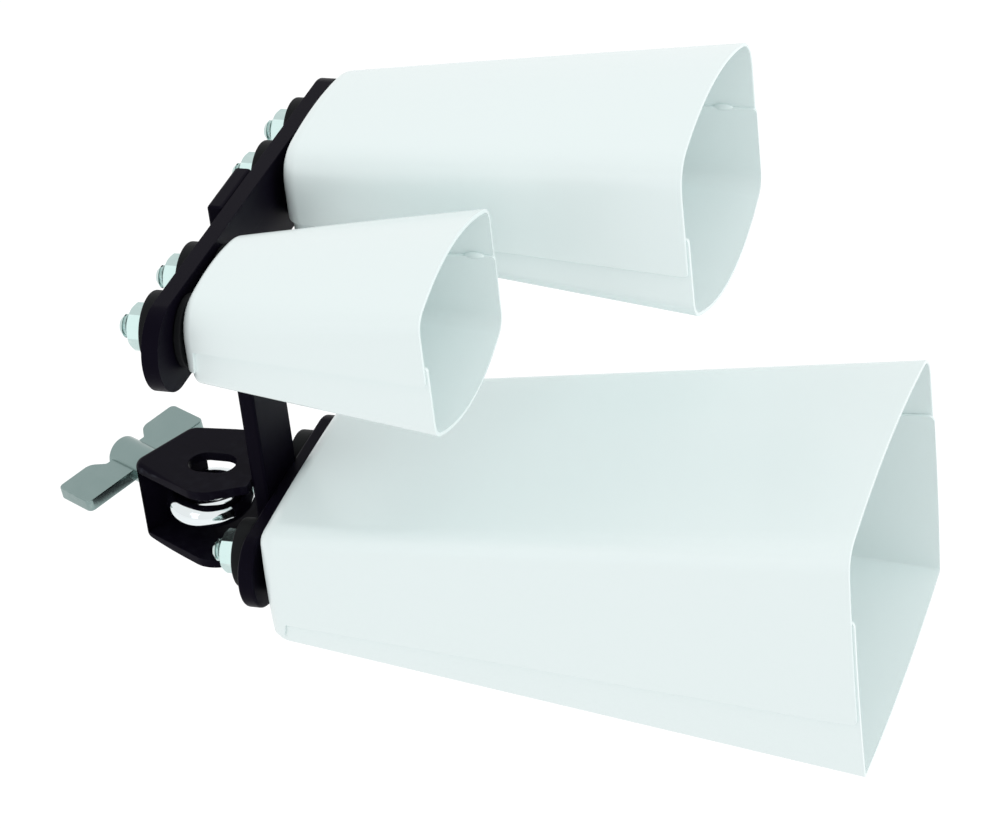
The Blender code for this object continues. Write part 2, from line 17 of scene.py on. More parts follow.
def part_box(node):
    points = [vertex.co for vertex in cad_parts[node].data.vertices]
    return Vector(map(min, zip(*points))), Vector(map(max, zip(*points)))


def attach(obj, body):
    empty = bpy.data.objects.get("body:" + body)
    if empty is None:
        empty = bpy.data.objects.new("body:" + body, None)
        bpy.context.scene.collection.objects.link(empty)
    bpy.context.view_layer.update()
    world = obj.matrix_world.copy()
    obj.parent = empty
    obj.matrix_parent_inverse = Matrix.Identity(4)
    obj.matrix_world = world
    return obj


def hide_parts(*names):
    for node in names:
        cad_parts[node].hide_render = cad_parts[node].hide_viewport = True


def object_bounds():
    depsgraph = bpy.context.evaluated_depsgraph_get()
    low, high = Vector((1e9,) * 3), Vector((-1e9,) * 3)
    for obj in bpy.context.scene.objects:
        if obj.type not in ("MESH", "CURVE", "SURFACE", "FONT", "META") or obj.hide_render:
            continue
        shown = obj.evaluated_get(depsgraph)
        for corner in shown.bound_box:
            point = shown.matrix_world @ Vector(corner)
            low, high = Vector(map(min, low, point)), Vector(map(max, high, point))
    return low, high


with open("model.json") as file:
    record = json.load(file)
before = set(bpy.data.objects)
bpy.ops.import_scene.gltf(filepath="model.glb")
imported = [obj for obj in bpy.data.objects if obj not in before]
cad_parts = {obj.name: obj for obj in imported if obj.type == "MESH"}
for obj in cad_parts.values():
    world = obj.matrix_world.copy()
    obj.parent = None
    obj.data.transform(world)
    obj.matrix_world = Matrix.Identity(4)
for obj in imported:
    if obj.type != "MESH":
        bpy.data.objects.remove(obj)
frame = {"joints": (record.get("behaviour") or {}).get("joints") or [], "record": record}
CAD_LOW, CAD_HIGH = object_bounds()

# Sheet metal and tolerances
SHEET = 0.0012
NESTING = 0.00125
MOUTH_PROUD = 0.0007
MERGE = 0.000002
PLACE_TOLERANCE = 0.00001

# The near side is the small bell's, the far side the medium bell's
SIDES = ("near", "far")

# Welds inside the bells, on rings of the sheet counted back from the mouth
WELD_RADIUS = 0.0011
WELD_HALF_LENGTH = 0.0034
WELD_RINGS = (-2, -4, -8)

# How far a bolt hole's drill passes the closed end, in roundings of that end
DRILL_REACH = 3

# Threads and fasteners, M8
PITCH = 0.00125
THREAD_DEPTH = 0.00055
BOLT_HOLE = 0.0086
BOLT_BORE = 0.0082
STEM_BORE = 0.0084
HEX_FACE_SHARE = 0.95
HEX_CLEAR_SHARE = 0.65
HEX_CHAMFER = math.radians(30)
NUT_END_SHARE = 0.80
BOLT_TIP_CHAMFER = 0.0014
HEAD_GAP = 0.0003
RING_EDGES = (("inner_washer", 0.0003), ("back_isolator", 0.0007), ("front_isolator", 0.0005))

# Rod clamp
CLAMP_SHEET = 0.0032
CLAMP_BEND = 0.0022
WALL_FROM_ROD = 0.0240
TAB_NEAR_SIDE = 0.0165
TAB_NOSE_REACH = 0.0100
TAB_NEAR_Y = -0.0116
TAB_NOSE_ROUND = 0.0100
TAB_CORNER_ROUND = 0.0050
SLOT_LENGTH = 0.0168
SLOT_WIDTH = 0.0115
STEM_HOLE = 0.0090

# Welds between the bracket's pieces
BEAD_RADIUS = 0.0013
BEAD_RIPPLE = 0.0016
BEAD_NECK = 0.88
BEAD_TIP = 0.5
BEAD_SET_IN = 0.0025

# Eye bolt and wing nut, measured out along the stem
EYE_DRAWN_OUT = 0.0040
EYE_RADIUS = 0.0103
EYE_WIRE = 0.0092
EYE_GAP = 0.0008
EYE_GAP_TURN = math.radians(28)
STEM_DIAMETER = 0.0076
STEM_TIP = 0.0535
WING_WASHER = (0.0243, 0.0259)
LOCK_WASHER = (0.0262, 0.0282)
LOCK_SLIT = 0.0020
LOCK_SLIT_TURN = math.radians(25)
HUB = (0.0285, 0.0505)
HUB_RADIUS = 0.0065
HUB_EDGE = 0.0009
WING_INNER = 0.0370
WING_OUTER = 0.0535
WING_SPAN = 0.0540
WING_THICKNESS = 0.0045
WING_WAIST = 0.0050
WING_WAIST_SPAN = 0.0200
WING_CORNER = 0.0020
WING_EDGE = 0.0004
WING_TILT = math.radians(-6)

# Edges
PLATE_EDGE = 0.0010
SHEET_EDGE = 0.00045
HEX_EDGE = 0.00012
FLANGE_CORNER = 0.0024
PLAIN_EDGE_ANGLE = math.radians(40)
BELL_EDGE_ANGLE = math.radians(50)
HEX_EDGE_ANGLE = math.radians(25)
SMOOTH_ANGLE = math.radians(32)

# How finely shapes are cut
SIDE_STEPS = 16
CORNER_STEPS = 9
END_STEPS = 8
LENGTH_STEPS = 12
TURN_STEPS = 64
BAR_ROUND_STEPS = 62
RIM_STEPS = 4
BEVEL_STEPS = 6
CLAMP_CORNER_STEPS = 8
BEAD_STEPS = 20
BEAD_RINGS = 12
STRAP_CUTS = 4

Section = namedtuple(
    "Section", "width height crown_top crown_bottom crown_side round_top round_bottom"
)
Bell = namedtuple(
    "Bell",
    "name mouth end end_drop end_round end_round_below seam_mouth seam_end lap_height lap_reach"
    " flange_mouth flange_end",
)

# Each section is a box with bowed sides. The closed end's axis lies lower than the mouth's by
# the end drop, and its edge has one rounding at the top and sides and its own one below. The
# seam is the upper sheet's edge above the section's bottom, the flange the lower sheet's edge
# below its top. As far as the lap reaches from the closed end, the upper sheet laps round the
# lower one and its edge lies at the lap's height.
BELLS = (
    Bell(
        "large_bell",
        mouth=Section(0.1170, 0.0857, 0.0048, 0.0031, 0.0021, 0.0086, 0.0030),
        end=Section(0.0957, 0.0423, 0.0012, 0.0014, 0.0010, 0.0070, 0.0030),
        end_drop=0.0,
        end_round=0.0070,
        end_round_below=0.0016,
        seam_mouth=0.0223,
        seam_end=0.0077,
        lap_height=0.0020,
        lap_reach=0.0060,
        flange_mouth=0.0240,
        flange_end=0.0077,
    ),
    Bell(
        "medium_bell",
        mouth=Section(0.0889, 0.0527, 0.0088, 0.0106, 0.0, 0.0100, 0.0070),
        end=Section(0.0660, 0.0312, 0.0030, 0.0045, 0.0, 0.0130, 0.0035),
        end_drop=0.0,
        end_round=0.0060,
        end_round_below=0.0060,
        seam_mouth=0.0148,
        seam_end=0.0069,
        lap_height=0.0,
        lap_reach=0.0,
        flange_mouth=0.0245,
        flange_end=0.0069,
    ),
    Bell(
        "small_bell",
        mouth=Section(0.0695, 0.0409, 0.0072, 0.0080, 0.0, 0.0050, 0.0060),
        end=Section(0.0535, 0.0250, 0.0034, 0.0040, 0.0, 0.0120, 0.0050),
        end_drop=0.0013,
        end_round=0.0036,
        end_round_below=0.0036,
        seam_mouth=0.0185,
        seam_end=0.0123,
        lap_height=0.0040,
        lap_reach=0.0031,
        flange_mouth=0.0165,
        flange_end=0.0050,
    ),
)

BODY_OF = {
    node: body for body, nodes in frame["record"]["behaviour"]["bodies"].items() for node in nodes
}
SLOT_OF = {part["node"]: part["material_slot"] for part in frame["record"]["subparts"]}
STEM_INWARD = Vector(
    next(joint for joint in frame["joints"] if joint["name"] == "wing_nut_turn")["axis"]
)
CLAMP_TURN = math.atan2(-STEM_INWARD.y, -STEM_INWARD.x)


# Modelling helpers


def select_only(piece):
    bpy.ops.object.select_all(action="DESELECT")
    piece.select_set(True)
    bpy.context.view_layer.objects.active = piece


def begin(add, **settings):
    """Add a primitive with nothing else selected, and put its place into its mesh."""
    bpy.ops.object.select_all(action="DESELECT")
    add(**settings)
    bpy.ops.object.transform_apply(location=True, rotation=True, scale=True)
    return bpy.context.object


@contextmanager
def editing(piece):
    """Edit mode on one piece, with all of it selected."""
    select_only(piece)
    bpy.ops.object.mode_set(mode="EDIT")
    bpy.ops.mesh.select_all(action="SELECT")
    yield bmesh.from_edit_mesh(piece.data)
    bpy.ops.object.mode_set(mode="OBJECT")


def pick(piece, kind, test):
    """Select the vertices, edges or faces that pass a test on their place."""
    bpy.ops.mesh.select_mode(type=kind)
    bpy.ops.mesh.select_all(action="DESELECT")
    shape = bmesh.from_edit_mesh(piece.data)
    parts = {"VERT": shape.verts, "EDGE": shape.edges, "FACE": shape.faces}[kind]
    for part in parts:
        if test(part):
            part.select_set(True)
    shape.select_flush_mode()
    bmesh.update_edit_mesh(piece.data)


def apply(piece, kind, **settings):
    """Add a modifier and apply it."""
    select_only(piece)
    modifier = piece.modifiers.new(kind.lower(), kind)
    for name, value in settings.items():
        setattr(modifier, name, value)
    bpy.ops.object.modifier_apply(modifier=modifier.name)


def combine(piece, tool, operation):
    """Cut, keep or join one solid by another, which is then used up."""
    apply(piece, "BOOLEAN", operation=operation, object=tool, solver="EXACT")
    bpy.data.objects.remove(tool, do_unlink=True)


def break_edges(piece, width, segments, angle=PLAIN_EDGE_ANGLE):
    """Round every edge that is sharper than an angle."""
    apply(
        piece,
        "BEVEL",
        width=width,
        segments=segments,
        limit_method="ANGLE",
        angle_limit=angle,
        miter_outer="MITER_ARC",
        use_clamp_overlap=True,
    )


def close_up(piece):
    """Merge doubled points and turn every face outwards."""
    with editing(piece):
        bpy.ops.mesh.remove_doubles(threshold=MERGE)
        bpy.ops.mesh.normals_make_consistent(inside=False)


def turn_piece(piece, angle, axis):
    select_only(piece)
    piece.matrix_world = Matrix.Rotation(angle, 4, axis)
    bpy.ops.object.transform_apply(location=True, rotation=True, scale=True)


def twin(piece, shift):
    """A copy with its own mesh, moved by a shift."""
    select_only(piece)
    bpy.ops.object.duplicate(linked=False)
    made = bpy.context.object
    made.location = shift
    bpy.ops.object.transform_apply(location=True, rotation=True, scale=True)
    return made


def turned(profile):
    """A body turned about X from a closed profile of (x, radius) points."""
    body = begin(bpy.ops.mesh.primitive_circle_add, vertices=len(profile), fill_type="NOTHING")
    with editing(body) as shape:
        for point, (x, radius) in zip(shape.verts, profile):
            point.co = (x, radius, 0.0)
        bpy.ops.mesh.spin(steps=TURN_STEPS, angle=2 * math.pi, center=(0, 0, 0), axis=(1, 0, 0))
    close_up(body)
    return body


def arc(x, radius, size, start, end):
    """Points (x, radius) of a round edge about a centre, between two angles in degrees."""
    angles = [math.radians(start + (end - start) * k / RIM_STEPS) for k in range(RIM_STEPS + 1)]
    return [(x + size * math.cos(a), radius + size * math.sin(a)) for a in angles]


def ring_profile(low, high, bore, diameter, edge):
    """A washer's profile with rounded rims and a broken bore."""
    inner, outer = bore / 2, diameter / 2
    rims = arc(high - edge, outer - edge, edge, 0, 90) + arc(low + edge, outer - edge, edge, 90, 180)
    bore_edge = edge / 2
    bores = [(low, inner + bore_edge), (low + bore_edge, inner)]
    bores += [(high - bore_edge, inner), (high, inner + bore_edge)]
    return rims + bores


def drill_along_x(low_x, high_x, y, z, diameter):
    """A round bar along X, to cut a hole with."""
    return begin(
        bpy.ops.mesh.primitive_cylinder_add,
        vertices=TURN_STEPS,
        radius=diameter / 2,
        depth=high_x - low_x,
        location=((low_x + high_x) / 2, y, z),
        rotation=(0, math.pi / 2, 0),
    )


def middle(node):
    low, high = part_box(node)
    return (low + high) / 2


def finished(piece, node):
    """Shade a piece, give it its node's finish and body, and let it stand for the node."""
    select_only(piece)
    bpy.ops.object.transform_apply(location=True, rotation=True, scale=True)
    bpy.ops.object.shade_smooth_by_angle(angle=SMOOTH_ANGLE)
    apply(piece, "WEIGHTED_NORMAL", keep_sharp=True)
    piece.name = f"finished_{node}"
    piece.data.name = piece.name
    piece.data.materials.clear()
    piece.data.materials.append(FINISHES[SLOT_OF[node]])
    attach(piece, BODY_OF[node])
    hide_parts(node)


# Bells


def blend(first, second, share):
    return Section(*(a + (b - a) * share for a, b in zip(first, second)))


def inset(section, amount):
    return section._replace(
        width=section.width - 2 * amount,
        height=section.height - 2 * amount,
        round_top=max(section.round_top - amount, SHEET / 4),
        round_bottom=max(section.round_bottom - amount, SHEET / 4),
    )


def corner_points(before, after):
    """Round the corner between two sides given as rows of points."""
    start, end = before[-1], after[0]
    leaving = before[-1] - before[-2]
    arriving = after[1] - after[0]
    knee = start + leaving * ((end - start).cross(arriving) / leaving.cross(arriving))
    shares = [k / (CORNER_STEPS + 1) for k in range(1, CORNER_STEPS + 1)]
    return [start * (1 - t) ** 2 + knee * (2 * t * (1 - t)) + end * t**2 for t in shares]


def sheet_outline(section, edge_height, upper):
    """Points (y, z) along one folded sheet of a bell, from seam edge to seam edge."""
    half_w, half_h = section.width / 2, section.height / 2
    corners = [Vector((y * half_w, z * half_h)) for y, z in ((-1, -1), (1, -1), (1, 1), (-1, 1))]
    rounds = [section.round_bottom, section.round_bottom, section.round_top, section.round_top]
    bows = [section.crown_bottom, section.crown_side, section.crown_top, section.crown_side]
    up_share = edge_height / section.height + 0.5
    up_share = max(up_share, section.round_bottom / section.height)
    up_share = min(up_share, 1 - section.round_top / section.height)
    order = (1, 2, 3) if upper else (3, 0, 1)
    spans = []
    for place, i in enumerate(order):
        start, run = corners[i], corners[(i + 1) % 4] - corners[i]
        outward = Vector((run.y, -run.x)).normalized()
        edge_share = up_share if i == 1 else 1 - up_share
        first = edge_share if place == 0 else rounds[i] / run.length
        last = edge_share if place == 2 else 1 - rounds[(i + 1) % 4] / run.length
        shares = [first + (last - first) * k / SIDE_STEPS for k in range(SIDE_STEPS + 1)]
        spans.append([start + run * t + outward * (bows[i] * 4 * t * (1 - t)) for t in shares])
    points = list(spans[0])
    for before, after in zip(spans, spans[1:]):
        points += corner_points(before, after) + after
    return points


def sheet_rings(bell, upper):
    """The folded sheet's outlines, from its rounded closed end to the mouth."""
    low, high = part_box(f"{bell.name}_upper_shell")
    length = high.x - low.x
    axis_y = (low.y + high.y) / 2
    axis_z = high.z - bell.mouth.height / 2 - bell.mouth.crown_top
    inward = 0.0 if upper else NESTING
    if upper:
        end_edge = bell.seam_end - bell.end.height / 2
        mouth_edge = bell.seam_mouth - bell.mouth.height / 2
    else:
        end_edge = bell.end.height / 2 - bell.flange_end + inward
        mouth_edge = bell.mouth.height / 2 - bell.flange_mouth + inward
    bend = bell.end_round - inward
    bend_below = bell.end_round_below - inward
    places = []
    for k in range(END_STEPS + 1):
        a = math.pi / 2 * k / END_STEPS
        rounding = 1 - math.sin(a)
        from_end = inward + bend * (1 - math.cos(a))
        places.append((from_end, inward + bend * rounding, (bend - bend_below) * rounding))
    straight = length - bell.end_round
    if not upper:
        straight += MOUTH_PROUD
    for k in range(1, LENGTH_STEPS + 1):
        places.append((bell.end_round + straight * k / LENGTH_STEPS, inward, 0.0))
    rings = []
    for x, amount, lower_by in places:
        share = x / length
        section = inset(blend(bell.end, bell.mouth, share), amount)
        section = section._replace(height=section.height + lower_by)
        edge = end_edge + (mouth_edge - end_edge) * share
        if upper and x < bell.lap_reach:
            edge = bell.lap_height - bell.end.height / 2
        edge += lower_by / 2
        drop = inward + lower_by / 2 + bell.end_drop * (1 - share)
        origin = Vector((low.x + x, axis_y, axis_z - drop))
        outline = sheet_outline(section, edge, upper)
        rings.append([origin + Vector((0.0, y, z)) for y, z in outline])
    return rings


def folded_sheet(bell, upper):
    """A strip of points opened at the seam, drawn out ring by ring and closed at the end."""
    rings = sheet_rings(bell, upper)
    count = len(rings[0])
    sheet = begin(bpy.ops.mesh.primitive_circle_add, vertices=count, fill_type="NOTHING")
    with editing(sheet) as shape:
        place = shape.verts.layers.int.new("place")
        for i, point in enumerate(shape.verts):
            point[place] = i
            point.co = rings[0][i]
        pick(sheet, "EDGE", lambda edge: {point[place] for point in edge.verts} == {0, count - 1})
        bpy.ops.mesh.delete(type="EDGE")
        bpy.ops.mesh.select_all(action="SELECT")
        for ring in rings[1:]:
            bpy.ops.mesh.extrude_edges_move()
            for point in shape.verts:
                if point.select:
                    point.co = ring[point[place]]
        end_x, mouth_x = rings[0][0].x, rings[-1][0].x
        pick(sheet, "VERT", lambda point: abs(point.co.x - end_x) < PLACE_TOLERANCE)
        bpy.ops.mesh.edge_face_add()
        bpy.ops.mesh.select_all(action="SELECT")
        bpy.ops.mesh.normals_make_consistent(inside=False)
        pick(
            sheet,
            "VERT",
            lambda point: abs(point.co.x - mouth_x) < PLACE_TOLERANCE and point[place] in (0, count - 1),
        )
        bpy.ops.mesh.bevel(
            offset=FLANGE_CORNER, segments=BEVEL_STEPS, affect="VERTICES", clamp_overlap=True
        )
        shape = bmesh.from_edit_mesh(sheet.data)
        shape.verts.layers.int.remove(shape.verts.layers.int["place"])
    return sheet


def add_weld_beads(sheet, rings):
    """Short welds along both flange edges, inside the bell."""
    for index in WELD_RINGS:
        for edge, inward in ((rings[index][0], 1), (rings[index][-1], -1)):
            bead = begin(
                bpy.ops.mesh.primitive_uv_sphere_add,
                segments=BEAD_STEPS,
                ring_count=BEAD_RINGS,
                radius=1,
                location=edge + Vector((0, inward * SHEET / 2, 0)),
                scale=(WELD_HALF_LENGTH, WELD_RADIUS, WELD_RADIUS),
            )
            combine(sheet, bead, "UNION")


def make_bell(bell):
    for which in ("upper", "lower"):
        node = f"{bell.name}_{which}_shell"
        sheet = folded_sheet(bell, which == "upper")
        apply(sheet, "SOLIDIFY", thickness=SHEET, offset=-1, use_even_offset=True)
        if which == "lower":
            add_weld_beads(sheet, sheet_rings(bell, False))
        end_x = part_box(node)[0].x
        past_end = end_x + DRILL_REACH * bell.end_round
        for where in SIDES:
            bolt = middle(f"{bell.name}_bolt_{where}")
            drill = drill_along_x(end_x - SHEET, past_end, bolt.y, bolt.z, BOLT_HOLE)
            combine(sheet, drill, "DIFFERENCE")
        break_edges(sheet, SHEET_EDGE, segments=3, angle=BELL_EDGE_ANGLE)
        finished(sheet, node)


# Bracket


def stadium_bar(length, height, low_x, high_x, at):
    """A bar along Y with full-round ends: a cylinder whose halves are drawn apart."""
    bar = begin(
        bpy.ops.mesh.primitive_cylinder_add,
        vertices=BAR_ROUND_STEPS,
        radius=height / 2,
        depth=high_x - low_x,
        location=((low_x + high_x) / 2, 0.0, 0.0),
        rotation=(0, math.pi / 2, 0),
    )
    reach = (length - height) / 2
    with editing(bar):
        for side in (-1, 1):
            pick(bar, "VERT", lambda point: point.co.y * side > PLACE_TOLERANCE)
            bpy.ops.transform.translate(value=(0, side * reach, 0))
        bpy.ops.mesh.select_all(action="SELECT")
        bpy.ops.transform.translate(value=at)
    return bar


def make_plate(node, bells):
    low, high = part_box(node)
    centre = (low + high) / 2
    plate = stadium_bar(high.y - low.y, high.z - low.z, low.x, high.x, (0, centre.y, centre.z))
    for bell in bells:
        for where in SIDES:
            bolt = middle(f"{bell}_bolt_{where}")
            drill = drill_along_x(low.x - PLATE_EDGE, high.x + PLATE_EDGE, bolt.y, bolt.z, BOLT_HOLE)
            combine(plate, drill, "DIFFERENCE")
    break_edges(plate, PLATE_EDGE, segments=4)
    finished(plate, node)


def make_strap():
    low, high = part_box("strap")
    strap = begin(
        bpy.ops.mesh.primitive_cube_add, size=1, location=(low + high) / 2, scale=high - low
    )
    with editing(strap):
        bpy.ops.mesh.subdivide(number_cuts=STRAP_CUTS)
    break_edges(strap, PLATE_EDGE, segments=4)
    finished(strap, "strap")


def clamp_point(out, along, z):
    """A point given by its distances out along the stem, along the clamp's wall and up."""
    return Matrix.Rotation(CLAMP_TURN, 3, "Z") @ Vector((out, -along, z))


def out_along(point):
    """How far a point lies out along the stem."""
    return -(point.co @ STEM_INWARD)


def clamp_plan(low, high):
    """The five corners of the clamp's plan, and how far each is rounded."""
    along_far = (high.y - WALL_FROM_ROD * math.sin(CLAMP_TURN)) / -math.cos(CLAMP_TURN)
    corners = [
        Vector((high.x, high.y, low.z)),
        clamp_point(WALL_FROM_ROD, along_far, low.z),
        clamp_point(WALL_FROM_ROD, -TAB_NEAR_SIDE, low.z),
        clamp_point(-TAB_NOSE_REACH, -TAB_NEAR_SIDE, low.z),
        Vector((high.x, TAB_NEAR_Y, low.z)),
    ]
    return corners, (0.0, TAB_CORNER_ROUND, TAB_CORNER_ROUND, TAB_NOSE_ROUND, 0.0)


def make_clamp():
    """A block of the clamp's plan, rounded at the bends, opened between its tabs and slotted."""
    low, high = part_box("clamp_bracket")
    corners, rounds = clamp_plan(low, high)
    clamp = begin(bpy.ops.mesh.primitive_circle_add, vertices=len(corners), fill_type="NGON")
    with editing(clamp) as shape:
        for point, corner in zip(shape.verts, corners):
            point.co = corner
        for i, radius in enumerate(rounds):
            if radius:
                before = (corners[i - 1] - corners[i]).normalized()
                after = (corners[(i + 1) % len(corners)] - corners[i]).normalized()
                reach = radius / math.tan(before.angle(after) / 2)
                pick(clamp, "VERT", lambda point: (point.co - corners[i]).length < PLACE_TOLERANCE)
                bpy.ops.mesh.bevel(
                    offset=reach, segments=CLAMP_CORNER_STEPS, affect="VERTICES", clamp_overlap=False
                )
        bpy.ops.mesh.select_all(action="SELECT")
        bpy.ops.mesh.extrude_region_move(TRANSFORM_OT_translate={"value": (0, 0, high.z - low.z)})
        bpy.ops.mesh.select_all(action="SELECT")
        bpy.ops.mesh.normals_make_consistent(inside=False)

        def on_the_bend(edge):
            first, second = edge.verts
            level = abs(first.co.z - second.co.z) < PLACE_TOLERANCE
            return level and all(out_along(end) > WALL_FROM_ROD - TAB_CORNER_ROUND for end in edge.verts)

        pick(clamp, "EDGE", on_the_bend)
        bpy.ops.mesh.bevel(
            offset=CLAMP_BEND, segments=BEVEL_STEPS, affect="EDGES", clamp_overlap=True
        )
    reach = 4 * WALL_FROM_ROD
    gap = begin(
        bpy.ops.mesh.primitive_cube_add,
        size=1,
        location=((WALL_FROM_ROD - CLAMP_SHEET - reach) / 2, 0, (low.z + high.z) / 2),
        scale=(WALL_FROM_ROD - CLAMP_SHEET + reach, 2 * reach, high.z - low.z - 2 * CLAMP_SHEET),
    )
    turn_piece(gap, CLAMP_TURN, "Z")
    combine(clamp, gap, "DIFFERENCE")
    slot = stadium_bar(SLOT_LENGTH, SLOT_WIDTH, -2 * high.z, 0.0, (0, 0, 0))
    turn_piece(slot, math.pi / 2, "Y")
    turn_piece(slot, math.pi / 2, "Z")
    combine(clamp, slot, "DIFFERENCE")
    stem_drill = drill_along_x(0.0, 2 * WALL_FROM_ROD, 0, 0, STEM_HOLE)
    turn_piece(stem_drill, CLAMP_TURN, "Z")
    combine(clamp, stem_drill, "DIFFERENCE")
    break_edges(clamp, SHEET_EDGE, segments=2)
    finished(clamp, "clamp_bracket")


def weld_bead(name, start, end):
    """A rippled bead of weld from one point to another, drawn out ring by ring."""
    run = end - start
    ripples = round(run.length / BEAD_RIPPLE)
    sizes = [BEAD_TIP] + [1.0 if k % 2 else BEAD_NECK for k in range(1, 2 * ripples)] + [BEAD_TIP]
    step = run.length / (len(sizes) - 1)
    bead = begin(
        bpy.ops.mesh.primitive_circle_add,
        vertices=BEAD_STEPS,
        radius=BEAD_RADIUS * BEAD_TIP,
        fill_type="NGON",
    )
    with editing(bead):
        for before, size in zip(sizes, sizes[1:]):
            bpy.ops.mesh.extrude_region_move(TRANSFORM_OT_translate={"value": (0, 0, step)})
            bpy.ops.transform.resize(value=(size / before, size / before, 1))
        bpy.ops.mesh.select_all(action="SELECT")
        bpy.ops.mesh.normals_make_consistent(inside=False)
    bead.matrix_world = Matrix.Translation(start) @ run.to_track_quat("Z", "Y").to_matrix().to_4x4()
    select_only(bead)
    bpy.ops.object.transform_apply(location=True, rotation=True, scale=True)
    bpy.ops.object.shade_smooth_by_angle(angle=2 * SMOOTH_ANGLE)
    bead.name = name
    bead.data.materials.append(FINISHES["bracket_coat"])
    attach(bead, BODY_OF["strap"])


def make_welds():
    """Beads along the strap's sides on both plates, and across its back on both tabs of the clamp."""
    strap_low, strap_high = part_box("strap")
    for plate in ("upper_bar", "lower_plate"):
        low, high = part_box(plate)
        bottom = max(low.z, strap_low.z) + BEAD_SET_IN
        top = min(high.z, strap_high.z) - BEAD_SET_IN
        for side, y in zip(SIDES, (strap_low.y, strap_high.y)):
            start = Vector((strap_high.x, y, bottom))
            weld_bead(f"weld_{plate}_{side}", start, Vector((strap_high.x, y, top)))
    low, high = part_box("clamp_bracket")
    near = max(TAB_NEAR_Y, strap_low.y) + BEAD_SET_IN
    far = min(high.y, strap_high.y) - BEAD_SET_IN
    for tab, z in (("upper_tab", high.z), ("lower_tab", low.z)):
        weld_bead(f"weld_{tab}", Vector((strap_low.x, near, z)), Vector((strap_low.x, far, z)))


# Fasteners


def threaded_rod(low, high, diameter):
    """A rod along X with a cut thread, chamfered at its low end."""
    crest, root = diameter / 2, diameter / 2 - THREAD_DEPTH
    one_turn = ((0, root), (1 / 8, root), (1 / 2, crest), (5 / 8, crest), (1, root))
    rod = begin(bpy.ops.mesh.primitive_circle_add, vertices=len(one_turn), fill_type="NOTHING")
    with editing(rod) as shape:
        for point, (share, radius) in zip(shape.verts, one_turn):
            point.co = (low + (share - 1) * PITCH, radius, 0.0)
        pick(rod, "EDGE", lambda edge: abs(edge.calc_length() - PITCH) < PLACE_TOLERANCE)
        bpy.ops.mesh.delete(type="EDGE")
    turns = math.ceil((high - low) / PITCH) + 2
    apply(
        rod,
        "SCREW",
        axis="X",
        angle=2 * math.pi,
        screw_offset=PITCH,
        iterations=turns,
        steps=TURN_STEPS // 2,
        render_steps=TURN_STEPS // 2,
        use_merge_vertices=True,
        merge_threshold=MERGE,
    )
    with editing(rod):
        bpy.ops.mesh.remove_doubles(threshold=MERGE)
        bpy.ops.mesh.select_all(action="SELECT")
        bpy.ops.mesh.bisect(plane_co=(low, 0, 0), plane_no=(1, 0, 0), use_fill=True, clear_inner=True)
        bpy.ops.mesh.select_all(action="SELECT")
        bpy.ops.mesh.bisect(plane_co=(high, 0, 0), plane_no=(1, 0, 0), use_fill=True, clear_outer=True)
        bpy.ops.mesh.select_all(action="SELECT")
        bpy.ops.mesh.normals_make_consistent(inside=False)
    clear = crest + BOLT_TIP_CHAMFER
    tip = turned(
        [
            (low, 0.0),
            (low, crest - BOLT_TIP_CHAMFER),
            (low + 2 * BOLT_TIP_CHAMFER, clear),
            (high + PITCH, clear),
            (high + PITCH, 0.0),
        ]
    )
    combine(rod, tip, "INTERSECT")
    return rod


def hexagon(low, high, across_flats):
    """A hexagon bar along X, flats up and down."""
    return begin(
        bpy.ops.mesh.primitive_cylinder_add,
        vertices=6,
        radius=across_flats / 2 / math.cos(math.pi / 6),
        depth=high - low,
        location=((low + high) / 2, 0, 0),
        rotation=(0, math.pi / 2, 0),
    )


def hex_turning(low, high, across_flats, low_share, high_share):
    """The outer profile that a lathe leaves on a hexagon: both ends chamfered.

    The shares give the end faces' diameters over the distance across the flats.
    """
    clear = across_flats * HEX_CLEAR_SHARE
    slope = math.tan(HEX_CHAMFER)
    low_face, high_face = across_flats / 2 * low_share, across_flats / 2 * high_share
    low_past, high_past = (clear - low_face) * slope, (clear - high_face) * slope
    return [(high, high_face), (high - high_past, clear), (low + low_past, clear), (low, low_face)]


def hex_nut(low, high):
    """A nut along X with chamfered ends and a broken bore."""
    across = high.z - low.z
    nut = hexagon(low.x, high.x, across)
    bore_edge = PITCH / 2
    inner = BOLT_BORE / 2
    profile = hex_turning(low.x, high.x, across, NUT_END_SHARE, HEX_FACE_SHARE)
    profile += [(low.x, inner + bore_edge), (low.x + bore_edge, inner)]
    profile += [(high.x - bore_edge, inner), (high.x, inner + bore_edge)]
    combine(nut, turned(profile), "INTERSECT")
    break_edges(nut, HEX_EDGE, segments=2, angle=HEX_EDGE_ANGLE)
    return nut


def hex_bolt(low, high, head_low):
    """A threaded rod along X with a hexagon head at its high end."""
    across = high.z - low.z
    bolt = hexagon(head_low, high.x, across)
    profile = hex_turning(head_low, high.x, across, HEX_FACE_SHARE, HEX_FACE_SHARE)
    profile += [(head_low, 0.0), (high.x, 0.0)]
    combine(bolt, turned(profile), "INTERSECT")
    break_edges(bolt, HEX_EDGE, segments=2, angle=HEX_EDGE_ANGLE)
    combine(bolt, threaded_rod(low.x, head_low + PITCH, STEM_DIAMETER), "UNION")
    return bolt


